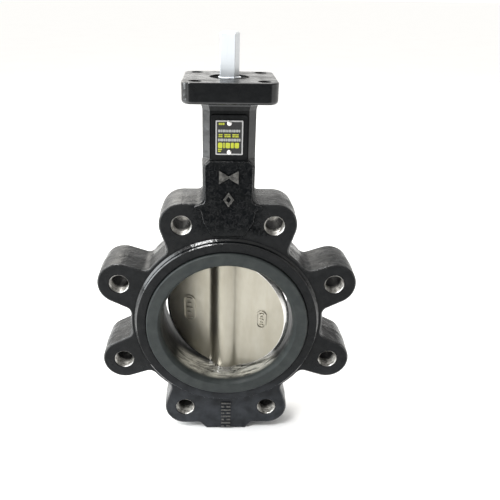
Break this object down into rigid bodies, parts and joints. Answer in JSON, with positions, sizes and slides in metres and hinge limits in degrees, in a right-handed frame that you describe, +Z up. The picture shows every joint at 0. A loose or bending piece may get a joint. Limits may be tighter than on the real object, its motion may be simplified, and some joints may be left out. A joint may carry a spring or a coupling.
{
  "type": "butterfly valve",
  "caption": "Lug-type butterfly valve with a ring body, tapped lugs, rubber seat, stainless disc on a through stem, square stem end and a top mounting flange.",
  "frame": {"origin": "centre of the bore, midway between the two seat faces, which is also the centre of the lug bolt circle", "axes": "+Z up the stem, flow along Y with the nameplate on the -Y side, +X to the right seen from the nameplate side"},
  "size_m": [0.2016, 0.061, 0.323],
  "materials": {
    "body_enamel": "black enamel on a rough casting",
    "seat_rubber": "moulded, dull sheen",
    "seal_rubber": "moulded",
    "phenolic": "moulded",
    "ptfe": "turned",
    "disc_stainless": "blasted casting with a polished rim",
    "stem_steel": "ground and milled",
    "bush_bronze": "turned",
    "hardware_steel": "zinc plated",
    "spring_steel": "phosphated",
    "nameplate_aluminium": "printed black and yellow, bare border",
    "rivet_steel": "bright"
  },
  "bodies": {
    "valve_body": {"body": "body_enamel", "seat_backing_ring": "phenolic", "seat_liner": "seat_rubber", "lower_neck_bush": "bush_bronze", "lower_neck_o_ring": "seal_rubber", "middle_neck_bush": "bush_bronze", "packing_support_ring": "ptfe", "packing_rings": "ptfe", "packing_follower": "bush_bronze", "upper_neck_bush": "bush_bronze", "upper_neck_o_ring": "seal_rubber", "stem_wiper_seal": "seal_rubber", "stem_retainer_left": "hardware_steel", "stem_retainer_right": "hardware_steel", "retaining_circlip": "spring_steel", "foot_bush": "bush_bronze", "foot_o_ring": "seal_rubber", "foot_thrust_pad": "ptfe", "nameplate": "nameplate_aluminium", "nameplate_rivet_lower": "rivet_steel", "nameplate_rivet_upper": "rivet_steel"},
    "disc_and_stem": {"disc": "disc_stainless", "stem": "stem_steel"}
  },
  "joints": [
    {"name": "disc_turn", "type": "hinge", "parent": "valve_body", "child": "disc_and_stem", "pos_m": [0, 0, 0], "axis": [0, 0, 1], "range_deg": [-72, 18]}
  ]
}
